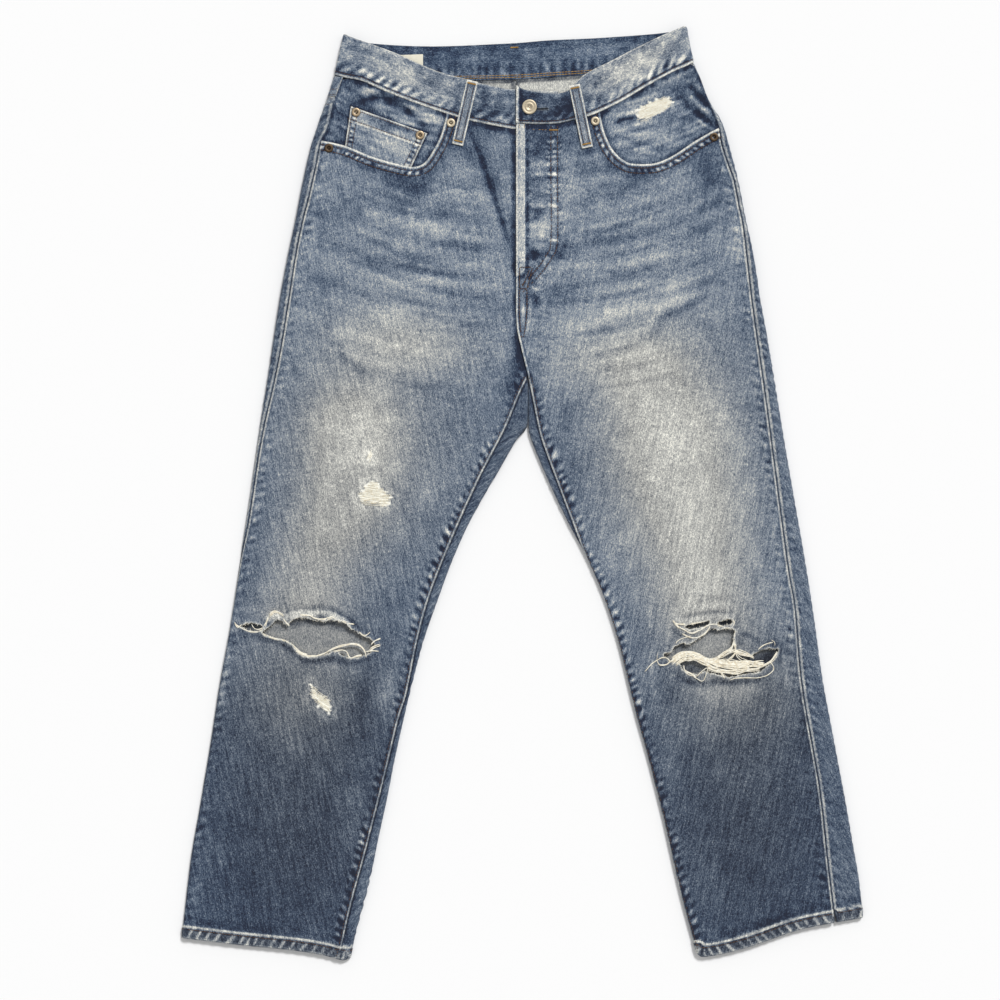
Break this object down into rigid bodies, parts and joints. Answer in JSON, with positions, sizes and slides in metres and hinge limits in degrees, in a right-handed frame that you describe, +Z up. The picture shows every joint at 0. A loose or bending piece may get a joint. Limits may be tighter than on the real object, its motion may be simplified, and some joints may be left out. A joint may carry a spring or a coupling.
{
  "type": "ripped jeans laid flat",
  "caption": "Straight-leg denim jeans laid flat, front up, with a button fly, scooped pockets, faded thighs and ripped knees.",
  "frame": {"origin": "middle of the bounding box's underside, on the surface that the jeans lie on", "axes": "+Z up from the surface, the front of the jeans facing up; +Y towards the waistband, the hems towards -Y; +X towards the wearer's left leg"},
  "size_m": [0.7287, 1, 0.0103],
  "materials": {
    "denim_front": "washed indigo denim, bleached at the thighs, with whiskers and rips",
    "denim_back": "washed indigo denim, darker than the front",
    "denim_waistband": "double denim, worn pale along its edges",
    "denim_facing": "washed indigo denim with frayed patches",
    "denim_loop": "denim worn grey, with cream edges",
    "label_cloth": "plain cream woven tape",
    "button_metal": "nickel-plated and rubbed, antique",
    "rivet_metal": "dark antique copper"
  },
  "bodies": {
    "root": {"front_right": "denim_front", "front_left": "denim_front", "back_right": "denim_back", "back_left": "denim_back", "yoke_right": "denim_back", "yoke_left": "denim_back", "waistband": "denim_waistband", "pocket_facing_right": "denim_facing", "pocket_facing_left": "denim_facing", "coin_pocket": "denim_facing", "patch_pocket_right": "denim_back", "patch_pocket_left": "denim_back", "fly_underlap": "denim_back", "belt_loop_front_right": "denim_loop", "belt_loop_front_left": "denim_loop", "belt_loop_back_right": "denim_loop", "belt_loop_back_centre": "denim_loop", "belt_loop_back_left": "denim_loop", "inside_label": "label_cloth", "waist_button": "button_metal", "rivet_right_side": "rivet_metal", "rivet_right_front": "rivet_metal", "rivet_coin_outer": "rivet_metal", "rivet_coin_inner": "rivet_metal", "rivet_left_front": "rivet_metal", "rivet_left_side": "rivet_metal"}
  },
  "joints": []
}
